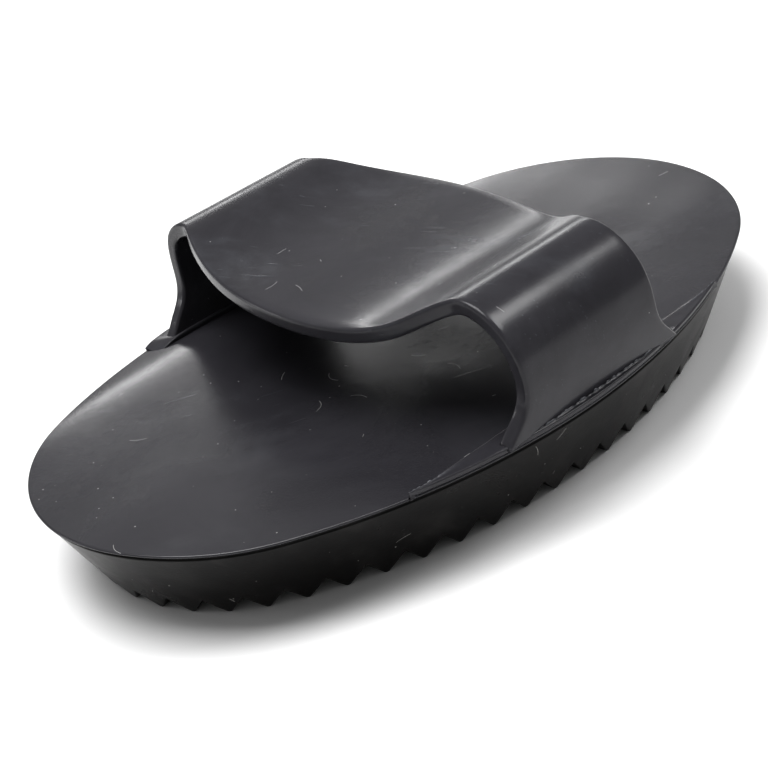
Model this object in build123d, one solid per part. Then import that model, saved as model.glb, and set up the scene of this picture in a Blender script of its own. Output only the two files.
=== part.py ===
from build123d import *
import os

# A hand-held rubber curry brush: an oval back plate with rings of pointed teeth below it
# and a wide strap over the top for the palm. Millimetres, +X along the oval's long axis,
# +Z up, origin on the ground under the middle of the brush, where the tooth points rest.

# Back plate and outer wall
plate_length = 160.0        # oval at the plate's top edge, long axis
plate_width = 106.4         # oval at the plate's top edge, short axis
end_radius = 43.0           # the oval is two end arcs and two side arcs, tangent to each other
plate_thickness = 5.0       # rubber over the tooth rings, at the middle
lip_thickness = 1.0         # the plate's edge, which covers the top of the outer wall
body_height = 17.7          # tooth points to the plate's top, at the middle
end_rise = 1.1              # how much higher the plate's two ends stand
wall_lean = 0.463           # the outer wall leans in by this much per millimetre down
slope_start = 41.0          # past this distance from the middle, the left side of the plate
edge_slope = 0.19           # slopes down to its edge, by this much per millimetre

# Teeth
notch_depth = 4.2           # height of the V cut between two teeth
tip_land = 0.6              # flat width left at each tooth's point
outer_teeth = 53
middle_teeth = 40
inner_teeth = 28
centre_teeth = 7
notch_shift = -1.5          # along the outer ring's edge, from where its -X end arc meets the
                            # left side to its first V, towards the right side
ring_root = 4.0             # wall thickness of a ring at the plate
ring_tip = 3.0              # wall thickness of a ring at the points
ring_gap = 13.4             # outside of one ring to the outside of the next, at the points
centre_length = 50.0        # the straight row in the middle

# Strap handle: the outside of its section across the hand, from the right foot to the left,
# as distance from the middle and height over the plate's top. The soft strap leans right.
strap_section = [
    (-52.2, 0.8), (-53.4, 8.0), (-51.5, 18.0), (-42.0, 24.4), (-28.0, 19.9), (-13.0, 17.95),
    (2.0, 18.7), (16.0, 19.8), (30.0, 22.25), (40.2, 23.9), (47.2, 20.0), (49.2, 13.0),
    (48.7, -1.2),
]
strap_thickness = 3.0
strap_height = 24.4         # the higher shoulder, over the plate's top
middle_reach = 27.3         # half of the strap's length in X, over the middle
shoulder_out = 39.0         # the bowed edges end here, on top of the shoulders
leg_reach = 16.6            # half of a leg's length in X
flare = [(24.2, -1.3), (22.0, 0.5), (20.6, 2.2), (18.4, 4.8), (17.0, 7.8)]  # half length, height
flare_height = 12.0         # above this height a leg's sides are straight

# Feet: a low raised land between a straight line and the plate's edge, under each leg
right_foot_line = 46.5      # the straight line's distance from the middle
left_foot_line = 45.0
foot_height = 1.2
left_foot_reach = 30.0      # the left land tapers off towards this distance in X,
left_foot_crown = 3.0       # below an arc this high over the plate's top in the middle
left_foot_drop = 2.0        # and this far under it at the ends

half_length = plate_length / 2 - end_rise * wall_lean
half_width = plate_width / 2
end_centre = half_length - end_radius
side_centre = end_centre * (half_length - half_width) - (half_length - half_width) ** 2 / 2
side_centre /= end_centre - (half_length - half_width)
side_radius = half_width + side_centre
plate_bottom = body_height - plate_thickness
foot_top = body_height + foot_height
cut_reach = 8.0             # spare length on every cutting shape


def oval(inset):
    """The brush's oval, moved in by inset all round: arcs about the same four centres."""
    join = Vector(end_centre, side_centre).normalized() * (end_radius - inset)
    out, up = end_centre + join.X, join.Y
    right = ThreePointArc((out, -up), (half_length - inset, 0), (out, up))
    back = ThreePointArc((out, up), (0, half_width - inset), (-out, up))
    left = ThreePointArc((-out, up), (inset - half_length, 0), (-out, -up))
    front = ThreePointArc((-out, -up), (0, inset - half_width), (out, -up))
    return Wire([right, back, left, front])


def post(low_inset, high_inset, height):
    """A closed oval post from the ground up to a height."""
    foot = Face(oval(low_inset))
    head = Face(oval(high_inset)).moved(Location((0, 0, height)))
    return loft([foot, head])


def notch_cutter(place, pitch):
    """A V-shaped bar across a ring wall, its apex notch_depth above the ground."""
    half_mouth = (pitch - tip_land) / 2
    slope = half_mouth / notch_depth
    below = 1.0
    outline = Polyline(
        (-half_mouth - slope * below, -below),
        (0, notch_depth),
        (half_mouth + slope * below, -below),
        close=True,
    )
    return place * extrude(make_face(outline), amount=cut_reach, both=True)


def ring_notches(inset, teeth, shift):
    """One cutter per tooth, evenly spaced along the ring's points."""
    edge = oval(inset)
    pitch = edge.length / teeth
    cutters = []
    for index in range(teeth):
        distance = (edge.length / 2 + shift + index * pitch) % edge.length
        spot = edge.position_at(distance, position_mode=PositionMode.LENGTH)
        along = edge.tangent_at(distance, position_mode=PositionMode.LENGTH)
        across = Vector(0, 0, 1).cross(along)
        cutters.append(notch_cutter(Plane(origin=spot, x_dir=along, z_dir=-across), pitch))
    return cutters


def inner_ring_wall(inset):
    """A closed wall under the plate, thicker at the plate than at its points."""
    draft = (ring_root - ring_tip) / 2
    outside = post(inset, inset - draft, plate_bottom)
    return outside - post(inset + ring_tip, inset + ring_tip + draft, plate_bottom)


def outer_wall():
    """The leaning wall round the plate, up to the lip; it is thicker towards the top."""
    high = body_height + end_rise
    at_tips = body_height * wall_lean
    at_high = at_tips - high * wall_lean
    root = ring_tip + (ring_root - ring_tip) * high / plate_bottom
    wall = post(at_tips, at_high, high) - post(at_tips + ring_tip, at_high + root, high)
    return wall & under_top_curve(-lip_thickness)


def toothed_ring(ring, teeth, shift=0):
    """A ring wall with V cuts in its lower edge: 0 is the outer ring, which holds the plate."""
    inset = body_height * wall_lean + ring * ring_gap
    wall = outer_wall() if ring == 0 else inner_ring_wall(inset)
    return wall - ring_notches(inset, teeth, shift)


def centre_row():
    """A straight rib in the middle of the rings, with the same V cuts."""
    foot = Plane.XY * SlotOverall(centre_length, ring_tip)
    root = Plane.XY.offset(plate_bottom) * SlotOverall(centre_length + 1.0, ring_root)
    rib = loft([foot.face(), root.face()])
    pitch = centre_length / centre_teeth
    for index in range(1, centre_teeth):
        spot = (index * pitch - centre_length / 2, 0, 0)
        rib -= notch_cutter(Plane(origin=spot, x_dir=(1, 0, 0), z_dir=(0, -1, 0)), pitch)
    return rib


def body_block():
    """The leaning oval block that the plate, the outer wall and the feet are cut from."""
    high = foot_top + end_rise + 1.0
    return post(body_height * wall_lean, (body_height - high) * wall_lean, high)


def back_plate():
    """The oval plate: a thin lip over the outer wall, and the thicker middle inside it."""
    below = Box(2 * plate_length, 2 * plate_width, 2 * plate_bottom)
    return (body_block() & under_top_curve(0)) - below - outer_wall()


def under_top_curve(extra):
    """Everything below the plate's top, raised by extra: a gentle curve with a sloping left side."""
    reach = half_length + cut_reach
    rise = end_rise * (reach / half_length) ** 2
    crown = ThreePointArc(
        (-reach, body_height + extra + rise),
        (0, body_height + extra),
        (reach, body_height + extra + rise),
    )
    outline = crown + Polyline(crown @ 1, (reach, -1), (-reach, -1), crown @ 0)
    block = extrude(Plane.XZ * make_face(outline), amount=half_width + cut_reach, both=True)
    slope = Plane(origin=(0, slope_start, body_height + extra), x_dir=(1, 0, 0), z_dir=(0, edge_slope, 1))
    standing = (Align.CENTER, Align.CENTER, Align.MIN)
    return block - slope * Box(2 * plate_length, 2 * plate_length, 2 * body_height, align=standing)


def strap_foot(line, side):
    """The raised land under one leg, from a straight line to the plate's edge, and flush with it."""
    strip = Box(plate_length, half_width, 2 * body_height, align=(Align.CENTER, Align.MIN, Align.MIN))
    strip = Pos(0, line, 0) * strip
    if side < 0:
        strip = mirror(strip, Plane.XZ)
    land = body_block() & strip & under_top_curve(foot_height)
    return land - under_top_curve(0)


def left_foot_arch():
    """Everything below the arc that tapers the left land off along the plate's edge."""
    low = body_height - left_foot_drop
    arc = ThreePointArc(
        (-left_foot_reach, low), (0, body_height + left_foot_crown), (left_foot_reach, low)
    )
    outline = arc + Polyline(arc @ 1, (left_foot_reach, 0), (-left_foot_reach, 0), arc @ 0)
    return extrude(Plane.XZ * make_face(outline), amount=half_width + cut_reach, both=True)


def strap_profile():
    """The strap seen along X: two legs, two rounded shoulders and a dip between them."""
    outside = Spline(*[(out, body_height + up) for out, up in strap_section])
    inside_points = []
    steps = 48
    for step in range(steps + 1):
        along = outside % (step / steps)
        inward = Vector(along.Y, -along.X) * strap_thickness
        inside_points.append(outside @ (step / steps) + inward)
    inside = Spline(*inside_points)
    feet = Line(outside @ 1, inside @ 1) + Line(inside @ 0, outside @ 0)
    return make_face(outside + inside + feet)


def strap_outline_above():
    """The strap seen from above: both long edges bow out over the palm."""
    front = ThreePointArc((-leg_reach, -shoulder_out), (-middle_reach, 0), (-leg_reach, shoulder_out))
    back = ThreePointArc((leg_reach, shoulder_out), (middle_reach, 0), (leg_reach, -shoulder_out))
    legs = half_width + cut_reach
    left_end = Polyline(front @ 1, (-leg_reach, legs), (leg_reach, legs), back @ 0)
    right_end = Polyline(back @ 1, (leg_reach, -legs), (-leg_reach, -legs), front @ 0)
    return make_face(front + left_end + back + right_end)


def leg_outline_side():
    """A leg seen along Y: straight sides that sweep out to the foot."""
    top = body_height + flare_height
    points = [(reach, body_height + up) for reach, up in flare]
    right = Spline(*points, (leg_reach, top))
    left = Spline(*[(-reach, up) for reach, up in points], (-leg_reach, top))
    ends = Line(left @ 1, right @ 1) + Line(right @ 0, left @ 0)
    return make_face(right + left + ends)


def strap_handle():
    """The whole strap: its top takes the bowed outline and its legs the flared one."""
    band = extrude(Plane.YZ * strap_profile(), amount=middle_reach + cut_reach, both=True)
    above = extrude(strap_outline_above(), amount=body_height + strap_height + cut_reach)
    beside = extrude(Plane.XZ * leg_outline_side(), amount=half_width + cut_reach, both=True)
    strap = (band & above) + (band & beside)
    return strap - under_top_curve(foot_height)


parts = {
    "back_plate": back_plate(),
    "outer_tooth_ring": toothed_ring(0, outer_teeth, notch_shift),
    "middle_tooth_ring": toothed_ring(1, middle_teeth),
    "inner_tooth_ring": toothed_ring(2, inner_teeth),
    "centre_tooth_row": centre_row(),
    "left_strap_foot": strap_foot(left_foot_line, 1) & left_foot_arch(),
    "right_strap_foot": strap_foot(right_foot_line, -1),
    "strap_handle": strap_handle(),
}

os.makedirs("parts", exist_ok=True)
for name, solid in parts.items():
    export_step(solid, f"parts/{name}.step")
    size = solid.bounding_box().size
    print(f"{name}: {len(solid.solids())} solid, {size.X:.1f} x {size.Y:.1f} x {size.Z:.1f} mm")
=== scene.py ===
import math

import bmesh
import bpy
import numpy as np
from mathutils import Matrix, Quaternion, Vector


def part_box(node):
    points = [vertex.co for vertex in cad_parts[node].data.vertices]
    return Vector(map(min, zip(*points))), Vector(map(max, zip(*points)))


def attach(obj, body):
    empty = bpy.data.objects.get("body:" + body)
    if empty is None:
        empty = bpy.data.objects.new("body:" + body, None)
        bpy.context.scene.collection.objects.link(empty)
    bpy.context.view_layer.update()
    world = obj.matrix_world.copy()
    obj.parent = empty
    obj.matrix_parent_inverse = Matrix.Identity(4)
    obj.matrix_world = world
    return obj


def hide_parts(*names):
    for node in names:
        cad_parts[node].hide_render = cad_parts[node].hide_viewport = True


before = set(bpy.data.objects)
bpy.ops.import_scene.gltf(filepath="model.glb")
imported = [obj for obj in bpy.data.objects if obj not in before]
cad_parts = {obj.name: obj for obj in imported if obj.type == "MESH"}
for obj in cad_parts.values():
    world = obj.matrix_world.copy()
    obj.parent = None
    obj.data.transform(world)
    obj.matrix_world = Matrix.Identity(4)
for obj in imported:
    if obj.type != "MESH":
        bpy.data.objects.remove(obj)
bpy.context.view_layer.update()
mm = 0.001
plateLow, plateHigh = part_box("back_plate")
print("frame loaded")

cameraView = {
    "azimuth": -35.09,      # degrees round the brush, 0 looks along +Y
    "elevation": 28.14,
    "roll": 14.57,          # the camera's right side dips
    "distance": 0.3279,
    "aim": (-0.0155, -0.0126, 0.0177),
    "lens": 83.06,
}


# The camera stands back from its aim along azimuth and elevation, then rolls about its sight line.
def addCamera(view):
    side, up = math.radians(view["azimuth"]), math.radians(view["elevation"])
    back = Vector((math.sin(side) * math.cos(up), -math.cos(side) * math.cos(up), math.sin(up)))
    data = bpy.data.cameras.new("camera")
    data.lens = view["lens"]
    data.clip_start = 0.01
    camera = bpy.data.objects.new("camera", data)
    bpy.context.scene.collection.objects.link(camera)
    camera.location = Vector(view["aim"]) + back * view["distance"]
    level = (-back).to_track_quat("-Z", "Y")
    camera.rotation_mode = "QUATERNION"
    camera.rotation_quaternion = level @ Quaternion((0, 0, 1), -math.radians(view["roll"]))
    bpy.context.scene.camera = camera


addCamera(cameraView)
print("camera placed")

# The body's measures: the oval is four tangent arcs, and the wall leans in towards the teeth.
body = {
    "endRise": 1.1 * mm,        # the plate's ends stand this much higher
    "slopeStart": 41.0 * mm,    # past this line the plate's left side slopes down
    "edgeSlope": 0.19,
    "endRadius": 43.0 * mm,
    "lean": 0.463,              # inset per height down the wall
    "lip": 1.0 * mm,            # thickness of the plate's edge
    "rimRound": 0.3 * mm,
    "seamDepth": 0.45 * mm,     # shadow line between the lip and the wall
    "softness": 0.03 * mm,      # soft waves in the rubber's surface
    "ringTip": 3.0 * mm,        # wall thickness at the points
    "ringRoot": 4.0 * mm,
    "ringGap": 13.4 * mm,
    "notchDepth": 4.2 * mm,
    "tipLand": 0.6 * mm,
}
plateBottom = plateLow.z
halfWidth = -plateLow.y
halfLength = plateHigh.x - body["endRise"] * body["lean"]
bodyTop = plateHigh.z - body["endRise"] * (plateHigh.x / halfLength) ** 2
longer = halfLength - halfWidth
endCentre = halfLength - body["endRadius"]
sideCentre = (endCentre * longer - longer ** 2 / 2) / (endCentre - longer)
sideRadius = halfWidth + sideCentre
joinAngle = math.atan2(sideCentre, endCentre)


# A point on the oval moved in by inset: the arc's centre plus its radius along the outward direction.
def ovalAt(angle, inset):
    cosine, sine = np.cos(angle), np.sin(angle)
    atEnd = np.abs(sine) < math.sin(joinAngle)
    x = np.where(atEnd, np.sign(cosine) * endCentre, 0.0)
    y = np.where(atEnd, 0.0, -np.sign(sine) * sideCentre)
    radius = np.where(atEnd, body["endRadius"], sideRadius) - inset
    return x + radius * cosine, y + radius * sine


# Arc lengths of the oval's five stretches, counted from the near end, right side first.
def ovalKnots(inset):
    end, side = body["endRadius"] - inset, sideRadius - inset
    sideTurn = math.pi - 2 * joinAngle
    turns = np.array([joinAngle, sideTurn, 2 * joinAngle, sideTurn, joinAngle])
    lengths = turns * np.array([end, side, end, side, end])
    start = np.zeros(1)
    return np.concatenate([start, np.cumsum(lengths)]), math.pi + np.concatenate([start, np.cumsum(turns)])


# Outward direction at a distance along the oval: straight interpolation between the arcs' joins.
def angleAlong(distance, inset):
    lengths, angles = ovalKnots(inset)
    return np.interp(distance % lengths[-1], lengths, angles)


# The larger of two fields with a rounded corner: half their sum plus half the softened difference.
def softMax(a, b, softness):
    return 0.5 * (a + b + np.sqrt((a - b) ** 2 + softness ** 2))


# Soft waves: a sum of slow sines whose directions and phases are drawn once.
waveDraw = np.random.default_rng(7)
waveTurns = waveDraw.uniform(0, 2 * math.pi, (9, 2))
waveLengths = waveDraw.uniform(18, 60, 9) * mm


def softWaves(u, v):
    total = np.zeros(np.broadcast(u, v).shape)
    for (heading, phase), length in zip(waveTurns, waveLengths):
        across = u * math.cos(heading) + v * math.sin(heading)
        total = total + np.sin(across * 2 * math.pi / length + phase)
    return total / 3 * body["softness"]


# Height of the plate's top: a shallow parabola along the brush, or the sloping left side if lower.
def topHeight(x, y):
    crown = bodyTop + body["endRise"] * (x / halfLength) ** 2
    slope = bodyTop - body["edgeSlope"] * (y - body["slopeStart"])
    return -softMax(-crown, -slope, 0.9 * mm) + softWaves(x, y)


# A grid of points becomes a mesh; closed directions wrap round, and collapsed rows are merged.
def gridPiece(name, points, closedAcross=True, closedAlong=False, marks=None):
    along, across = points.shape[:2]
    index = np.arange(along * across).reshape(along, across)
    nextAlong = np.roll(index, -1, axis=0) if closedAlong else index[1:]
    base = index if closedAlong else index[:-1]
    columns = slice(None) if closedAcross else slice(0, -1)
    corners = [base, nextAlong, np.roll(nextAlong, -1, axis=1), np.roll(base, -1, axis=1)]
    faces = np.stack([c[:, columns] for c in corners], axis=-1).reshape(-1, 4)
    mesh = bpy.data.meshes.new(name)
    mesh.from_pydata(points.reshape(-1, 3).tolist(), [], faces.tolist())
    for key, values in (marks or {}).items():
        written = mesh.attributes.new(key, "FLOAT", "POINT").data
        written.foreach_set("value", values.ravel().astype(np.float32))
    piece = bpy.data.objects.new(name, mesh)
    bpy.context.scene.collection.objects.link(piece)
    work = bmesh.new()
    work.from_mesh(mesh)
    bmesh.ops.remove_doubles(work, verts=work.verts, dist=2e-6)
    bmesh.ops.dissolve_degenerate(work, edges=work.edges, dist=1e-7)
    bmesh.ops.recalc_face_normals(work, faces=work.faces)
    work.to_mesh(mesh)
    work.free()
    mesh.shade_smooth()
    return piece


# The piece rides on the brush, stands for its CAD node and takes the finish it is given.
def settle(piece, node, material):
    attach(piece, "root")
    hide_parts(node)
    piece.data.materials.append(material)
    print(piece.name, len(piece.data.polygons), "faces")


# Quarter-circle offsets for a rounded corner of radius 1: (across, up) from the first face to the second.
def quarterTurn(steps):
    angle = np.linspace(0, math.pi / 2, steps)
    return 1 - np.cos(angle), np.sin(angle)


plateShape = {
    "turns": 540,
    "rings": 56,
    "rimGrowth": 1.5,           # the rings crowd towards the rim by this power
    "lipEdge": 0.45 * mm,       # the lip's crisp side, over the recess of the seam
    "endDrift": 0.28 * mm,      # the rim's inward drift at the near end
    "flatSpot": 0.45 * mm,      # and where it is flattest, right of the end's middle
    "flatHeading": 206,
    "flatWidth": 17,
}


# The rim's own drift from the oval: the near end is a little flatter to the right of its middle.
def rimDrift(angle):
    turn = (angle - math.radians(plateShape["flatHeading"])) / math.radians(plateShape["flatWidth"])
    end = np.maximum(-np.cos(angle), 0) ** 6
    return plateShape["endDrift"] * end + plateShape["flatSpot"] * np.exp(-turn ** 2)


# The plate: rings from its middle to the rim, round the lip, under it, down inside the wall and back.
def makePlate(shape):
    angle = angleAlong(np.linspace(0, ovalKnots(0)[0][-1], shape["turns"], endpoint=False), 0)
    share = 1 - (1 - np.linspace(0, 1, shape["rings"])) ** shape["rimGrowth"]
    rim, drift = body["rimRound"], rimDrift(angle)
    edgeX = ovalAt(angle, 0)[0]
    spread = (body["endRise"] * (edgeX / halfLength) ** 2) * body["lean"]

    def ring(inset, down, reach=1.0):
        x, y = ovalAt(angle, drift - spread + inset)
        return np.stack([reach * x, reach * y, topHeight(reach * x, reach * y) + down], axis=-1)

    rows = [ring(rim, 0.0, reach) for reach in share]
    across, up = quarterTurn(6)
    rows += [ring(rim * (1 - side), -rim * drop) for drop, side in zip(across[1:], up[1:])]
    edge, lip, seam = shape["lipEdge"], body["lip"], body["seamDepth"]
    lean = body["lean"]
    rows += [
        ring(edge * lean * 0.5, -edge),
        ring(edge * lean + 0.05 * mm, -edge - 0.07 * mm),
        ring(lip * lean + seam, -edge - 0.16 * mm),
        ring(lip * lean + seam, -lip),
        ring(body["ringRoot"] + 0.8 * mm, -lip),
    ]
    bottomInset = (bodyTop - plateBottom) * lean + body["ringRoot"]
    x, y = ovalAt(angle, bottomInset)
    for part in (1.0, 0.85, 0.5, 0.2, 0.0):
        rows.append(np.stack([part * x, part * y, np.full_like(x, plateBottom)], axis=-1))
    points = np.stack(rows, axis=1)
    return gridPiece("backPlate", points, closedAcross=False, closedAlong=True)


# One tooth's stations as shares of the pitch, close together at the V's bottom and at the points.
toothStations = np.array([-0.5, -0.47, -0.44, -0.41, -0.36, -0.25, -0.12, -0.05, -0.02, 0.0, 0.02, 0.05,
                          0.12, 0.25, 0.36, 0.41, 0.44, 0.47])


wallShape = {
    "tipRound": 0.2 * mm,       # rounding of the wall's lower edge
    "cutSoftness": 0.12 * mm,   # rounding of the V cuts' bottoms and the points
    "seamRows": [0, 0.15, 0.3, 0.45, 0.65, 0.9],    # millimetres below the lip
    "seamFade": 0.35 * mm,
    "pushAlong": 0.3 * mm,      # how far the near end's points sit out of place
    "pushAcross": 1.4 * mm,
}


# At the near end the soft wall's points sit a little towards the left foot: a sideways shift that
# grows down the wall and towards the end.
def endShift(x, z):
    near = np.clip((-x - 25 * mm) / (40 * mm), 0, 1)
    return (3 - 2 * near) * near ** 2 * np.clip(1 - z / bodyTop, 0, 1)


# A toothed wall: its lower edge is a triangle wave along the oval, and its section runs down
# the outside, round the edge, across and up the inside.
def makeWall(name, inset, teeth, shift, leans):
    thickTip, thickRoot = body["ringTip"], body["ringRoot"]
    pitch = ovalKnots(inset)[0][-1] / teeth
    share = np.tile(toothStations, teeth)
    tooth = np.repeat(np.arange(teeth), len(toothStations))
    firstCut = shift - joinAngle * (body["endRadius"] - inset)
    angle = angleAlong(firstCut + pitch * (tooth + share), inset)
    reach = 0.5 - body["tipLand"] / pitch / 2
    low = softMax(body["notchDepth"] * (1 - np.abs(share) / reach), 0 * share, wallShape["cutSoftness"])
    low = low - low.min()
    high, drift, spread = np.full_like(low, plateBottom), 0.0, 0.0
    if leans:
        x, y = ovalAt(angle, 0)
        high = topHeight(x, y) - body["lip"]
        drift = rimDrift(angle)

    def outerInset(z):
        if leans:
            return (bodyTop - z) * body["lean"] + drift * np.clip(z / bodyTop, 0, 1) ** 2
        return inset - (thickRoot - thickTip) / 2 * z / plateBottom

    def innerInset(z):
        grow = (thickRoot - thickTip) / plateBottom
        if leans:
            return outerInset(z) + thickTip + grow * z
        return inset + thickTip + grow / 2 * z

    edge = wallShape["tipRound"]
    across, up = quarterTurn(4)
    rows = []
    seamRows = np.array(wallShape["seamRows"]) * mm if leans else np.zeros(1)
    for drop in seamRows:
        groove = body["seamDepth"] * np.exp(-(drop / wallShape["seamFade"]) ** 4) if leans else 0.0
        rows.append((outerInset(high - drop) + groove, high - drop))
    for part in (0.04, 0.1, 0.2, 0.32, 0.45, 0.58, 0.7, 0.8, 0.88, 0.95):
        top = high - seamRows[-1]
        z = top + (low + edge - top) * part
        rows.append((outerInset(z), z))
    for step in range(len(across)):
        z = low + edge * (1 - up[step])
        rows.append((outerInset(z) + edge * across[step], z))
    rows.append(((outerInset(low) + innerInset(low)) / 2, low))
    for step in reversed(range(len(across))):
        z = low + edge * (1 - up[step])
        rows.append((innerInset(z) - edge * across[step], z))
    for part in (0.9, 0.7, 0.5, 0.3, 0.1, 0.0):
        z = high + (low + edge - high) * part
        rows.append((innerInset(z), z))
    columns = []
    for rowInset, z in rows:
        x, y = ovalAt(angle, rowInset)
        push = endShift(x, z) if leans else 0.0
        moved = [x + wallShape["pushAlong"] * push, y + wallShape["pushAcross"] * push, z]
        columns.append(np.stack(moved, axis=-1))
    points = np.stack(columns, axis=1)
    return gridPiece(name, points, closedAcross=True, closedAlong=True)


# A shader node group with named sockets: inputs as (name, kind, value), outputs as (name, kind).
def newGroup(name, inputs, outputs):
    group = bpy.data.node_groups.new(name, "ShaderNodeTree")
    for label, kind, value in inputs:
        socket = group.interface.new_socket(name=label, in_out="INPUT", socket_type=kind)
        if value is not None:
            socket.default_value = value
    for label, kind in outputs:
        group.interface.new_socket(name=label, in_out="OUTPUT", socket_type=kind)
    return group, group.nodes.new("NodeGroupInput").outputs, group.nodes.new("NodeGroupOutput").inputs


# One node: each input is a number, a colour or another node's socket.
def addNode(tree, kind, inputs, **settings):
    made = tree.nodes.new(kind)
    for key, value in settings.items():
        setattr(made, key, value)
    for key, value in inputs.items():
        if isinstance(value, bpy.types.NodeSocket):
            tree.links.new(value, made.inputs[key])
        else:
            made.inputs[key].default_value = value
    return made.outputs


# A Math node on any mix of numbers and sockets.
def mathNode(tree, operation, *terms):
    return addNode(tree, "ShaderNodeMath", dict(enumerate(terms)), operation=operation)[0]


# A smooth step: 0 below the first edge, 1 above the second.
def fade(tree, value, low, high, atLow=0.0, atHigh=1.0):
    steps = {"Value": value, "From Min": low, "From Max": high, "To Min": atLow, "To Max": atHigh}
    return addNode(tree, "ShaderNodeMapRange", steps, interpolation_type="SMOOTHSTEP")[0]


# Fine moulded grain over a slower unevenness, and a wide mottle of the tone.
def makeRubberGrain():
    group, given, out = newGroup("rubberGrain", [
        ("Vector", "NodeSocketVector", None), ("Grain", "NodeSocketFloat", 2600.0),
        ("Unevenness", "NodeSocketFloat", 260.0), ("Mottle Scale", "NodeSocketFloat", 55.0),
    ], [("Height", "NodeSocketFloat"), ("Mottle", "NodeSocketFloat")])
    fine = addNode(group, "ShaderNodeTexNoise",
                   {"Vector": given["Vector"], "Scale": given["Grain"], "Detail": 3.0, "Roughness": 0.6})
    slow = addNode(group, "ShaderNodeTexNoise",
                   {"Vector": given["Vector"], "Scale": given["Unevenness"], "Detail": 4.0})
    wide = addNode(group, "ShaderNodeTexNoise",
                   {"Vector": given["Vector"], "Scale": given["Mottle Scale"], "Detail": 5.0,
                    "Roughness": 0.62, "Distortion": 0.6})
    height = mathNode(group, "MULTIPLY_ADD", slow["Fac"], 1.6, fine["Fac"])
    group.links.new(height, out["Height"])
    group.links.new(fade(group, wide["Fac"], 0.32, 0.68), out["Mottle"])
    return group


# Dust: in each small cell a dot of random size and brightness, kept only in a share of the cells.
def makeDustSpecks():
    group, given, out = newGroup("dustSpecks", [
        ("Vector", "NodeSocketVector", None), ("Cells", "NodeSocketFloat", 260.0),
        ("Dot", "NodeSocketFloat", 0.09), ("Share", "NodeSocketFloat", 0.2),
    ], [("Mask", "NodeSocketFloat")])
    cells = addNode(group, "ShaderNodeTexVoronoi",
                    {"Vector": given["Vector"], "Scale": given["Cells"]}, voronoi_dimensions="3D")
    draw = addNode(group, "ShaderNodeSeparateColor", {"Color": cells["Color"]})
    size = mathNode(group, "MULTIPLY", given["Dot"], mathNode(group, "MULTIPLY_ADD", draw["Red"], 0.7, 0.3))
    kept = mathNode(group, "LESS_THAN", draw["Green"], given["Share"])
    dot = fade(group, cells["Distance"], size, mathNode(group, "MULTIPLY", size, 0.6))
    bright = mathNode(group, "MULTIPLY", kept, mathNode(group, "MULTIPLY_ADD", draw["Blue"], 0.75, 0.25))
    group.links.new(mathNode(group, "MULTIPLY", dot, bright), out["Mask"])
    return group


# Lint: in each cell one fibre, turned by a random angle and curled as a parabola about its middle.
def makeLintFibres():
    group, given, out = newGroup("lintFibres", [
        ("Vector", "NodeSocketVector", None), ("Cells", "NodeSocketFloat", 120.0),
        ("Length", "NodeSocketFloat", 0.0022), ("Width", "NodeSocketFloat", 0.00008),
        ("Curl", "NodeSocketFloat", 300.0), ("Share", "NodeSocketFloat", 0.2),
    ], [("Mask", "NodeSocketFloat")])
    cells = addNode(group, "ShaderNodeTexVoronoi",
                    {"Vector": given["Vector"], "Scale": given["Cells"]}, voronoi_dimensions="2D")
    draw = addNode(group, "ShaderNodeSeparateColor", {"Color": cells["Color"]})
    local = addNode(group, "ShaderNodeVectorMath", {0: given["Vector"], 1: cells["Position"]},
                    operation="SUBTRACT")[0]
    turned = addNode(group, "ShaderNodeVectorRotate",
                     {"Vector": local, "Angle": mathNode(group, "MULTIPLY", draw["Red"], 2 * math.pi)},
                     rotation_type="Z_AXIS")[0]
    axes = addNode(group, "ShaderNodeSeparateXYZ", {0: turned})
    bend = mathNode(group, "MULTIPLY", given["Curl"], mathNode(group, "SUBTRACT", draw["Green"], 0.5))
    arc = mathNode(group, "MULTIPLY", bend, mathNode(group, "MULTIPLY", axes["X"], axes["X"]))
    aside = mathNode(group, "ABSOLUTE", mathNode(group, "SUBTRACT", axes["Y"], arc))
    along = mathNode(group, "ABSOLUTE", axes["X"])
    reach = mathNode(group, "MULTIPLY", given["Length"], draw["Green"])
    inWidth = mathNode(group, "LESS_THAN", aside, given["Width"])
    inLength = mathNode(group, "LESS_THAN", along, reach)
    kept = mathNode(group, "LESS_THAN", draw["Blue"], given["Share"])
    fibre = mathNode(group, "MULTIPLY", inWidth, inLength)
    group.links.new(mathNode(group, "MULTIPLY", fibre, kept), out["Mask"])
    return group


# Bloom and smears: stretched, warped noise with soft borders.
def makeBloomPatches():
    group, given, out = newGroup("bloomPatches", [
        ("Vector", "NodeSocketVector", None), ("Stretch", "NodeSocketVector", (1.0, 1.0, 1.0)),
        ("Patches", "NodeSocketFloat", 70.0), ("Start", "NodeSocketFloat", 0.5),
        ("Full", "NodeSocketFloat", 0.72),
    ], [("Mask", "NodeSocketFloat")])
    drawn = addNode(group, "ShaderNodeVectorMath", {0: given["Vector"], 1: given["Stretch"]},
                    operation="MULTIPLY")[0]
    noise = addNode(group, "ShaderNodeTexNoise",
                    {"Vector": drawn, "Scale": given["Patches"], "Detail": 6.0, "Roughness": 0.6,
                     "Distortion": 0.35})
    group.links.new(fade(group, noise["Fac"], given["Start"], given["Full"]), out["Mask"])
    return group


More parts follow.
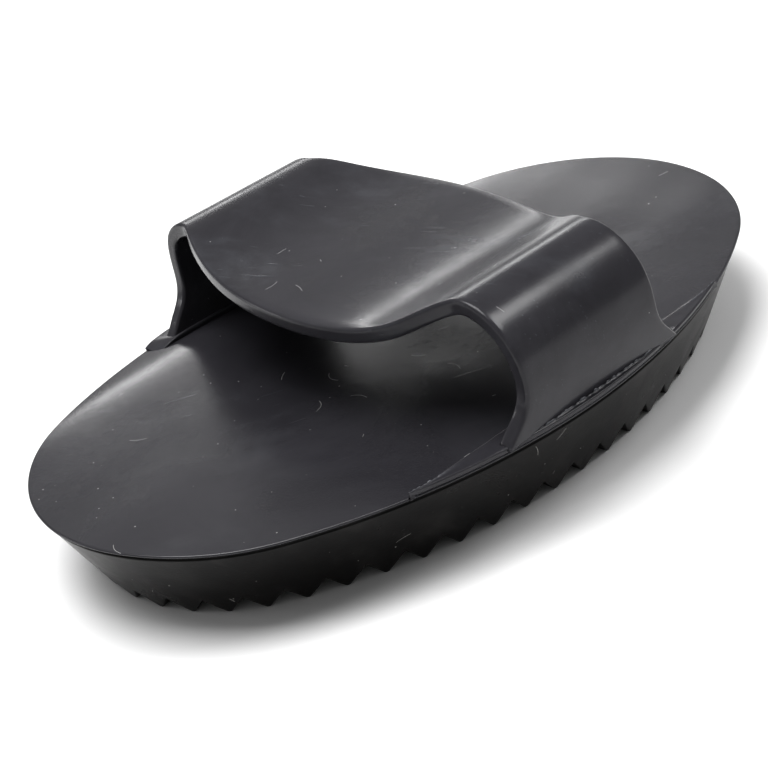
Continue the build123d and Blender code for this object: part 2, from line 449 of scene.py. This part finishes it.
# Fine rubbing marks: noise drawn out along one direction, only its thin peaks kept, in loose patches.
def makeRubMarks():
    group, given, out = newGroup("rubMarks", [
        ("Vector", "NodeSocketVector", None), ("Stretch", "NodeSocketVector", (40.0, 1500.0, 900.0)),
        ("Start", "NodeSocketFloat", 0.66), ("Patches", "NodeSocketFloat", 90.0),
    ], [("Mask", "NodeSocketFloat")])
    drawn = addNode(group, "ShaderNodeVectorMath", {0: given["Vector"], 1: given["Stretch"]},
                    operation="MULTIPLY")[0]
    lines = addNode(group, "ShaderNodeTexNoise", {"Vector": drawn, "Scale": 1.0, "Detail": 2.0})
    loose = addNode(group, "ShaderNodeTexNoise",
                    {"Vector": given["Vector"], "Scale": given["Patches"], "Detail": 3.0})
    peaks = fade(group, lines["Fac"], given["Start"], mathNode(group, "ADD", given["Start"], 0.07))
    group.links.new(mathNode(group, "MULTIPLY", peaks, fade(group, loose["Fac"], 0.48, 0.62)), out["Mask"])
    return group


effects = {
    "grain": makeRubberGrain(), "specks": makeDustSpecks(), "fibres": makeLintFibres(),
    "bloom": makeBloomPatches(), "rubs": makeRubMarks(),
}
print("shared effects made")

plateFinish = {
    "dark": (0.026, 0.0252, 0.0294), "light": (0.037, 0.0361, 0.0412),
    "bloomTone": (0.065, 0.066, 0.073), "dustTone": (0.5, 0.5, 0.49),
    "roughness": (0.24, 0.19), "bloomRoughness": 0.35, "specular": 0.42,
    "grainHeight": 0.000012, "turn": (0.0, 0.0, 0.5),
    "grain": {"Grain": 2400.0, "Unevenness": 210.0, "Mottle Scale": 34.0},
    "specks": {"Cells": 400.0, "Dot": 0.075, "Share": 0.5},
    "fibres": {"Cells": 110.0, "Length": 0.0022, "Width": 0.00005, "Curl": 500.0, "Share": 0.14},
    "bloom": {"Stretch": (1.0, 1.3, 1.0), "Patches": 44.0, "Start": 0.5, "Full": 0.85},
    "bloomShare": 0.35,
    "rubs": {"Stretch": (60.0, 1300.0, 500.0), "Start": 0.68, "Patches": 60.0},
}
# Painted shade: the toothed walls are the plate's own rubber, but these tones are several times darker than
# the plate's, standing in for the shade on the wall that faces down over the shaded floor.
toothFinishPaintedShade = {
    "dark": (0.0038, 0.0034, 0.0034), "light": (0.0078, 0.0071, 0.0069),
    "bloomTone": (0.034, 0.032, 0.031), "dustTone": (0.5, 0.49, 0.47),
    "roughness": (0.34, 0.27), "bloomRoughness": 0.42, "specular": 0.18,
    "grainHeight": 0.000016, "turn": (math.pi / 2, 0.0, 0.0),
    "grain": {"Grain": 2000.0, "Unevenness": 260.0, "Mottle Scale": 60.0},
    "specks": {"Cells": 420.0, "Dot": 0.08, "Share": 0.4},
    "fibres": {"Cells": 150.0, "Length": 0.0016, "Width": 0.00005, "Curl": 300.0, "Share": 0.12},
    "bloom": {"Stretch": (1.0, 1.0, 2.2), "Patches": 85.0, "Start": 0.5, "Full": 0.78},
    "bloomShare": 0.5,
    "rubs": {"Stretch": (900.0, 900.0, 60.0), "Start": 0.69, "Patches": 110.0},
}
strapFinish = {
    "dark": (0.027, 0.0261, 0.0304), "light": (0.039, 0.038, 0.0434),
    "bloomTone": (0.075, 0.079, 0.09), "dustTone": (0.6, 0.6, 0.6),
    "roughness": (0.25, 0.2), "bloomRoughness": 0.37, "specular": 0.3,
    "grainHeight": 0.000012, "turn": (0.0, 0.0, 1.1),
    "grain": {"Grain": 2600.0, "Unevenness": 230.0, "Mottle Scale": 48.0},
    "specks": {"Cells": 420.0, "Dot": 0.07, "Share": 0.35},
    "fibres": {"Cells": 140.0, "Length": 0.0018, "Width": 0.000045, "Curl": 300.0, "Share": 0.1},
    "bloom": {"Stretch": (0.8, 1.2, 1.2), "Patches": 60.0, "Start": 0.47, "Full": 0.8},
    "bloomShare": 0.42,
    "rubs": {"Stretch": (70.0, 1500.0, 1500.0), "Start": 0.655, "Patches": 75.0},
}


layering = {
    "rubShare": 0.4,            # how strongly rubbed marks take the bloom's tone
    "fibreShare": 0.55,         # lint is fainter than dust
    "flashShare": 0.8,
    "flashTone": (0.16, 0.165, 0.18),
    "dustRoughness": 0.3,
    "rubLift": 0.7,             # heights of the layers, in grain heights
    "dustLift": 3.0,
}


# A shared effect in a material, with the finish's own values on its sockets.
def effectFrom(tree, key, vector, finish):
    return addNode(tree, "ShaderNodeGroup", {"Vector": vector, **finish[key]}, node_tree=effects[key])


# Black rubber: a mottled dark tone, paler bloom and rubbed marks over it, dust and lint on top;
# the roughness follows the mottle and the bloom, and the grain lifts the surface.
def makeRubber(name, finish, flashed=False):
    material = bpy.data.materials.new(name)
    material.use_nodes = True
    tree = material.node_tree
    shader = tree.nodes["Principled BSDF"]
    shader.inputs["Specular IOR Level"].default_value = finish["specular"]
    place = addNode(tree, "ShaderNodeTexCoord", {})["Object"]
    centred = addNode(tree, "ShaderNodeMapping", {"Vector": place, "Rotation": finish["turn"]})["Vector"]

    def blend(factor, below, above):
        return addNode(tree, "ShaderNodeMix", {0: factor, 6: below, 7: above}, data_type="RGBA")[2]

    grain = effectFrom(tree, "grain", centred, finish)
    specks = effectFrom(tree, "specks", centred, finish)["Mask"]
    fibres = effectFrom(tree, "fibres", centred, finish)["Mask"]
    bloom = effectFrom(tree, "bloom", centred, finish)["Mask"]
    rubs = effectFrom(tree, "rubs", centred, finish)["Mask"]
    bloomShare = mathNode(tree, "MULTIPLY", bloom, finish["bloomShare"])
    tone = blend(grain["Mottle"], (*finish["dark"], 1), (*finish["light"], 1))
    tone = blend(bloomShare, tone, (*finish["bloomTone"], 1))
    tone = blend(mathNode(tree, "MULTIPLY", rubs, layering["rubShare"]), tone, (*finish["bloomTone"], 1))
    lint = mathNode(tree, "MULTIPLY", fibres, layering["fibreShare"])
    dust = mathNode(tree, "MAXIMUM", specks, lint)
    if flashed:
        flash = addNode(tree, "ShaderNodeAttribute", {}, attribute_name="flash")["Fac"]
        flashShare = mathNode(tree, "MULTIPLY", flash, layering["flashShare"])
        tone = blend(flashShare, tone, (*layering["flashTone"], 1))
    tone = blend(dust, tone, (*finish["dustTone"], 1))
    tree.links.new(tone, shader.inputs["Base Color"])
    rough = fade(tree, grain["Mottle"], 0.0, 1.0, *finish["roughness"])
    rough = addNode(tree, "ShaderNodeMix",
                    {0: bloomShare, 2: rough, 3: finish["bloomRoughness"]}, data_type="FLOAT")[0]
    rough = mathNode(tree, "MULTIPLY_ADD", dust, layering["dustRoughness"], rough)
    tree.links.new(rough, shader.inputs["Roughness"])
    height = mathNode(tree, "MULTIPLY_ADD", rubs, layering["rubLift"], grain["Height"])
    height = mathNode(tree, "MULTIPLY_ADD", dust, layering["dustLift"], height)
    lift = addNode(tree, "ShaderNodeBump", {"Height": height, "Distance": finish["grainHeight"]})["Normal"]
    tree.links.new(lift, shader.inputs["Normal"])
    return material


plateRubber = makeRubber("plateRubber", plateFinish)
# The teeth's material is a darkened copy of the plate's rubber: painted shade, not a different rubber.
paintedShadeToothRubber = makeRubber("paintedShadeToothRubber", toothFinishPaintedShade)
strapRubber = makeRubber("strapRubber", strapFinish, flashed=True)
print("rubber finishes made")

settle(makePlate(plateShape), "back_plate", plateRubber)
# The toothed walls from the outside in; only the outer one leans and starts its cuts off the join.
toothedWalls = [
    {"name": "outerToothWall", "node": "outer_tooth_ring", "teeth": 53, "shift": -1.5 * mm},
    {"name": "middleToothRing", "node": "middle_tooth_ring", "teeth": 40, "shift": 0.0},
    {"name": "innerToothRing", "node": "inner_tooth_ring", "teeth": 28, "shift": 0.0},
]
for place, values in enumerate(toothedWalls):
    wallInset = bodyTop * body["lean"] + place * body["ringGap"]
    wall = makeWall(values["name"], wallInset, values["teeth"], values["shift"], place == 0)
    settle(wall, values["node"], paintedShadeToothRubber)

# Section of the strap across the hand, from the right foot to the left: distance from the middle
# and height over the plate's top, in millimetres, on the outside of the rubber.
strap = {
    "section": [
        (-52.2, 0.6), (-53.4, 8.0), (-51.5, 18.0), (-42.0, 24.4), (-28.0, 19.9), (-13.0, 17.95),
        (2.0, 18.7), (16.0, 19.8), (30.0, 22.25), (40.2, 23.9), (47.2, 20.0), (49.2, 13.0),
        (48.7, -1.2),
    ],
    "thickness": 3.0 * mm,
    "edgeRound": 0.7 * mm,
    "middleReach": 27.3 * mm,   # half of the strap's length in X, over the palm
    "shoulderOut": 39.0 * mm,
    "legReach": 16.6 * mm,
    "flare": [(-1.3, 24.2), (0.5, 22.0), (2.2, 20.6), (4.8, 18.4), (7.8, 17.0), (12.0, 16.6)],
    "stations": 220,
}


# A natural cubic spline through a few points, read at even shares of its chord length.
def smoothThrough(knots, count):
    knots = np.array(knots, float)
    chord = np.concatenate([np.zeros(1), np.cumsum(np.linalg.norm(np.diff(knots, axis=0), axis=1))])
    step = np.diff(chord)
    size = len(knots)
    matrix, right = np.eye(size), np.zeros_like(knots)
    inner = np.arange(1, size - 1)
    matrix[inner, inner - 1] = step[:-1]
    matrix[inner, inner] = 2 * (step[:-1] + step[1:])
    matrix[inner, inner + 1] = step[1:]
    slope = np.diff(knots, axis=0) / step[:, None]
    right[inner] = 6 * np.diff(slope, axis=0)
    bend = np.linalg.solve(matrix, right)
    at = np.linspace(0, chord[-1], count)
    span = np.clip(np.searchsorted(chord, at, side="right") - 1, 0, size - 2)
    width = step[span][:, None]
    ahead = (chord[span + 1] - at)[:, None]
    behind = (at - chord[span])[:, None]
    curve = (bend[span] * ahead ** 3 + bend[span + 1] * behind ** 3) / (6 * width)
    curve += (knots[span] / width - bend[span] * width / 6) * ahead
    curve += (knots[span + 1] / width - bend[span + 1] * width / 6) * behind
    return curve


# A rounded rectangle as four rows of unit values: share of half width, share of half height, and
# the corner's direction across and up.
def roundedSection(flatSteps, sideSteps, cornerSteps):
    angle = np.linspace(0, math.pi / 2, cornerSteps)
    wide = np.linspace(-1, 1, flatSteps)[1:-1]
    tall = np.linspace(1, -1, sideSteps)[1:-1]
    ones = np.ones_like(angle)
    parts = [
        (wide, np.ones_like(wide), 0 * wide, np.ones_like(wide)),
        (ones, ones, np.sin(angle), np.cos(angle)),
        (np.ones_like(tall), tall, np.ones_like(tall), 0 * tall),
        (ones, -ones, np.cos(angle), -np.sin(angle)),
        (-wide, -np.ones_like(wide), 0 * wide, -np.ones_like(wide)),
        (-ones, -ones, -np.sin(angle), -np.cos(angle)),
        (-np.ones_like(tall), -tall, -np.ones_like(tall), 0 * tall),
        (-ones, ones, -np.cos(angle), np.sin(angle)),
    ]
    return [np.concatenate([p[k] for p in parts]) for k in range(4)]


# Half of the strap's length in X: a bowed arc over the palm, and a straight leg that flares at its foot.
def strapReach(out, height):
    bow = strap["middleReach"] - strap["legReach"]
    radius = (strap["shoulderOut"] ** 2 + bow ** 2) / (2 * bow)
    arc = strap["middleReach"] - radius + np.sqrt(radius ** 2 - np.minimum(np.abs(out), 0.9 * radius) ** 2)
    flare = smoothThrough(strap["flare"], 60) * mm
    leg = np.interp(height, flare[:, 0], flare[:, 1])
    leg = np.where(np.abs(out) > 0.9 * strap["shoulderOut"], leg, strap["legReach"])
    return softMax(arc, leg, 0.8 * mm)


# The strap: its outside curve moved in by half the thickness carries a rounded rectangle.
def makeStrap():
    outside = smoothThrough(strap["section"], strap["stations"]) * mm
    along = np.gradient(outside, axis=0)
    along /= np.linalg.norm(along, axis=1)[:, None]
    outward = np.stack([-along[:, 1], along[:, 0]], axis=1)
    centre = outside - outward * strap["thickness"] / 2
    shareX, shareUp, cornerX, cornerUp = roundedSection(30, 5, 6)
    edge = strap["edgeRound"]
    reach = strapReach(outside[:, 0], outside[:, 1])[:, None]
    x = shareX * (reach - edge) + cornerX * edge
    lift = shareUp * (strap["thickness"] / 2 - edge) + cornerUp * edge
    y = centre[:, :1] + outward[:, :1] * lift
    z = bodyTop + centre[:, 1:] + outward[:, 1:] * lift
    points = np.stack([x, y, z], axis=-1)
    caps = points.mean(axis=1, keepdims=True)
    first = np.repeat(caps[:1], points.shape[1], axis=1)
    last = np.repeat(caps[-1:], points.shape[1], axis=1)
    return gridPiece("strapHandle", np.concatenate([first, points, last]))


settle(makeStrap(), "strap_handle", strapRubber)

foot = {
    "rightLine": 46.5 * mm,     # each land's straight inner edge
    "leftLine": 45.0 * mm,
    "height": 1.2 * mm,
    "round": 0.45 * mm,
    "stations": 420,
    "leftReach": 30.0 * mm,     # the left land tapers off below an arc along the rim
    "leftCrown": 3.0 * mm,
    "leftDrop": 2.0 * mm,
    "flashHeight": 0.35 * mm,   # rubber squeezed out along the right leg's foot
    "flashLine": 52.45 * mm,
    "flashHalf": 0.3 * mm,      # half of its width
    "tipFlash": 0.3 * mm,       # and a little more where the land runs out to its points
    "tipFlashAt": 37 * mm,
    "leftTrim": 2.2 * mm,       # the left land stops this far before its arc's end
    "sunk": 0.3 * mm,           # each land reaches this far into the plate
}


# Ragged height along a line: sines of random lengths added up, kept between 0.25 and 1.6.
def ragged(x, seed):
    draw = np.random.default_rng(seed)
    lengths, phases = draw.uniform(0.8, 6.5, 12) * mm, draw.uniform(0, 2 * math.pi, 12)
    waves = np.sin(x[:, None] * 2 * math.pi / lengths + phases).sum(axis=1) / 3.2
    return np.clip(0.75 + 0.4 * waves, 0.25, 1.6)


# A foot's land: between its straight line and the rim, raised over the plate, with rounded edges.
def makeFoot(name, side):
    lean, line = body["lean"], foot["leftLine"] if side > 0 else foot["rightLine"]
    radius = sideRadius + foot["height"] * lean
    halfSpan = math.sqrt(radius ** 2 - (line + sideCentre) ** 2)
    if side > 0:
        halfSpan = foot["leftReach"] - foot["leftTrim"]
    x = halfSpan * np.sin(np.linspace(-math.pi / 2, math.pi / 2, foot["stations"]))
    rim = np.sqrt(radius ** 2 - x ** 2) - sideCentre
    width = np.maximum(rim - line, 0.02 * mm)
    rounded = np.minimum(foot["round"], width / 3)
    onLeg = np.exp(-(x / (20 * mm)) ** 8)
    flash = foot["flashHeight"] * ragged(x, 11) * onLeg
    nearTip = np.exp(-((np.abs(x) - foot["tipFlashAt"]) / (5 * mm)) ** 2)
    tipFlash = foot["tipFlash"] * ragged(x, 5) * nearTip
    across, up = quarterTurn(5)
    rows = [(line + 0 * x, -foot["sunk"] + 0 * x, 0 * x)]
    for step in range(len(across)):
        rows.append((line + rounded * across[step], foot["height"] - rounded * (1 - up[step]), 0 * x))
    for part in (0.1, 0.2, 0.3, 0.5, 0.7):
        bead = tipFlash * math.exp(-((part - 0.2) / 0.12) ** 2) * (side < 0)
        y = line + rounded + (width - 2 * rounded) * part
        rows.append((y, foot["height"] + bead, bead / foot["tipFlash"]))
    beadAt = np.minimum(foot["flashLine"], rim - rounded)
    for step in (-1.0, -0.6, -0.3, 0.0, 0.3, 0.6, 1.0):
        innermost = line + rounded + (width - 2 * rounded) * 0.75
        at = np.clip(beadAt + step * foot["flashHalf"], innermost, rim - rounded)
        bead = flash * math.cos(step * math.pi / 2) * (side < 0)
        rows.append((at, foot["height"] + bead, bead / foot["flashHeight"]))
    for step in reversed(range(len(across))):
        drop = rounded * (1 - up[step])
        rows.append((rim - rounded * across[step] - drop * lean, foot["height"] - drop, 0 * x))
    rows.append((rim - foot["height"] * lean, 0 * x, 0 * x))
    buried = rim - (foot["height"] + foot["sunk"]) * lean - 0.2 * mm
    rows.append((buried, -foot["sunk"] + 0 * x, 0 * x))
    y = side * np.stack([r[0] for r in rows], axis=1)
    over = np.stack([np.broadcast_to(r[1], x.shape) for r in rows], axis=1)
    z = topHeight(x[:, None], y) + over
    if side > 0:
        rise = foot["leftCrown"] + foot["leftDrop"]
        arch = (foot["leftReach"] ** 2 + rise ** 2) / (2 * rise)
        under = bodyTop + foot["leftCrown"] - arch + np.sqrt(arch ** 2 - x ** 2)
        floor = topHeight(x[:, None], y) - foot["sunk"]
        z = np.maximum(-softMax(-z, -under[:, None], 0.5 * mm), np.minimum(floor, z))
    points = np.stack([np.broadcast_to(x[:, None], y.shape), y, z], axis=-1)
    flashed = np.stack([np.broadcast_to(r[2], x.shape) for r in rows], axis=1)
    return gridPiece(name, points, marks={"flash": flashed})


settle(makeFoot("leftStrapFoot", 1), "left_strap_foot", strapRubber)
settle(makeFoot("rightStrapFoot", -1), "right_strap_foot", strapRubber)


# The straight row in the middle: its plan is a slot, and its lower edge has the same V cuts.
centreRow = {
    "length": 50.0 * mm,
    "teeth": 7,
    "endRound": 1.5 * mm,       # extra stations this close to each end
    "heights": [0.0, 0.15, 0.35, 0.55, 0.75, 0.9, 1.0],
}


def makeCentreRow():
    rowPitch = centreRow["length"] / centreRow["teeth"]
    share = np.tile(toothStations, centreRow["teeth"])
    x = (np.repeat(np.arange(centreRow["teeth"]), len(toothStations)) + 0.5 + share) * rowPitch
    closer = centreRow["endRound"] * np.linspace(0, 1, 8) ** 2
    x = np.unique(np.concatenate([x, centreRow["length"] - closer, closer]) - centreRow["length"] / 2)
    place = (x + centreRow["length"] / 2) / rowPitch
    fromCut = np.abs(place - np.round(place))
    reach = 0.5 - body["tipLand"] / rowPitch / 2
    low = softMax(body["notchDepth"] * (1 - fromCut / reach), 0 * x, wallShape["cutSoftness"])
    low = np.where(np.abs(x) > centreRow["length"] / 2 - rowPitch / 2, 0, low - low.min())
    rows = []
    for side in (1, -1):
        for part in centreRow["heights"][::side]:
            z = plateBottom + (low - plateBottom) * part
            half = body["ringTip"] / 2 + (body["ringRoot"] - body["ringTip"]) / 2 * z / plateBottom
            long = centreRow["length"] / 2 + 0.5 * mm * z / plateBottom
            end = np.clip((np.abs(x) * long / x.max() - (long - half)) / half, 0, 1)
            rows.append((x * long / x.max(), side * half * np.sqrt(1 - end ** 2), z))
    points = np.stack([np.stack(row, axis=-1) for row in rows], axis=1)
    return gridPiece("centreToothRow", points)


settle(makeCentreRow(), "centre_tooth_row", paintedShadeToothRubber)

stage = {
    "paper": (0.9, 0.9, 0.9),
    "paperReach": 4.0,
    "surround": 0.26,           # strength of the even grey-white room
}

# Soft boxes: heading round the brush (0 behind it, towards +Y, 90 towards +X), height angle,
# distance, width and height, and power.
softBoxes = {
    "lowBack": {"heading": 35, "height": 18.5, "distance": 1.4, "size": (0.7, 0.14), "power": 1.6},
    "backLeft": {"heading": -40, "height": 16, "distance": 1.4, "size": (0.4, 0.2), "power": 1.6},
    "frontRight": {"heading": 126, "height": 54, "distance": 1.3, "size": (0.5, 0.3), "power": 4.2},
    "above": {"heading": -30, "height": 78, "distance": 1.3, "size": (0.9, 0.9), "power": 18},
}


def addStage(values):
    reach = values["paperReach"]
    corners = [(-reach, -reach, 0), (reach, -reach, 0), (reach, reach, 0), (-reach, reach, 0)]
    mesh = bpy.data.meshes.new("floor")
    mesh.from_pydata(corners, [], [(0, 1, 2, 3)])
    floor = bpy.data.objects.new("floor", mesh)
    bpy.context.scene.collection.objects.link(floor)
    paper = bpy.data.materials.new("paper")
    paper.use_nodes = True
    shader = paper.node_tree.nodes["Principled BSDF"]
    shader.inputs["Base Color"].default_value = (*values["paper"], 1)
    shader.inputs["Roughness"].default_value = 1.0
    shader.inputs["Specular IOR Level"].default_value = 0.0
    mesh.materials.append(paper)
    room = bpy.data.worlds.new("room")
    room.use_nodes = True
    room.node_tree.nodes["Background"].inputs["Color"].default_value = (1, 1, 1, 1)
    room.node_tree.nodes["Background"].inputs["Strength"].default_value = values["surround"]
    bpy.context.scene.world = room


def addSoftBox(name, values):
    side, up = math.radians(values["heading"]), math.radians(values["height"])
    towards = Vector((math.sin(side) * math.cos(up), math.cos(side) * math.cos(up), math.sin(up)))
    data = bpy.data.lights.new(name, "AREA")
    data.shape = "RECTANGLE"
    data.size, data.size_y = values["size"]
    data.energy = values["power"]
    lamp = bpy.data.objects.new(name, data)
    bpy.context.scene.collection.objects.link(lamp)
    lamp.location = towards * values["distance"]
    lamp.rotation_mode = "QUATERNION"
    lamp.rotation_quaternion = towards.to_track_quat("Z", "Y")


addStage(stage)
for boxName, boxValues in softBoxes.items():
    addSoftBox(boxName, boxValues)
bpy.context.scene.view_settings.view_transform = "Standard"
bpy.context.scene.view_settings.look = "Medium High Contrast"
print("stage lit")
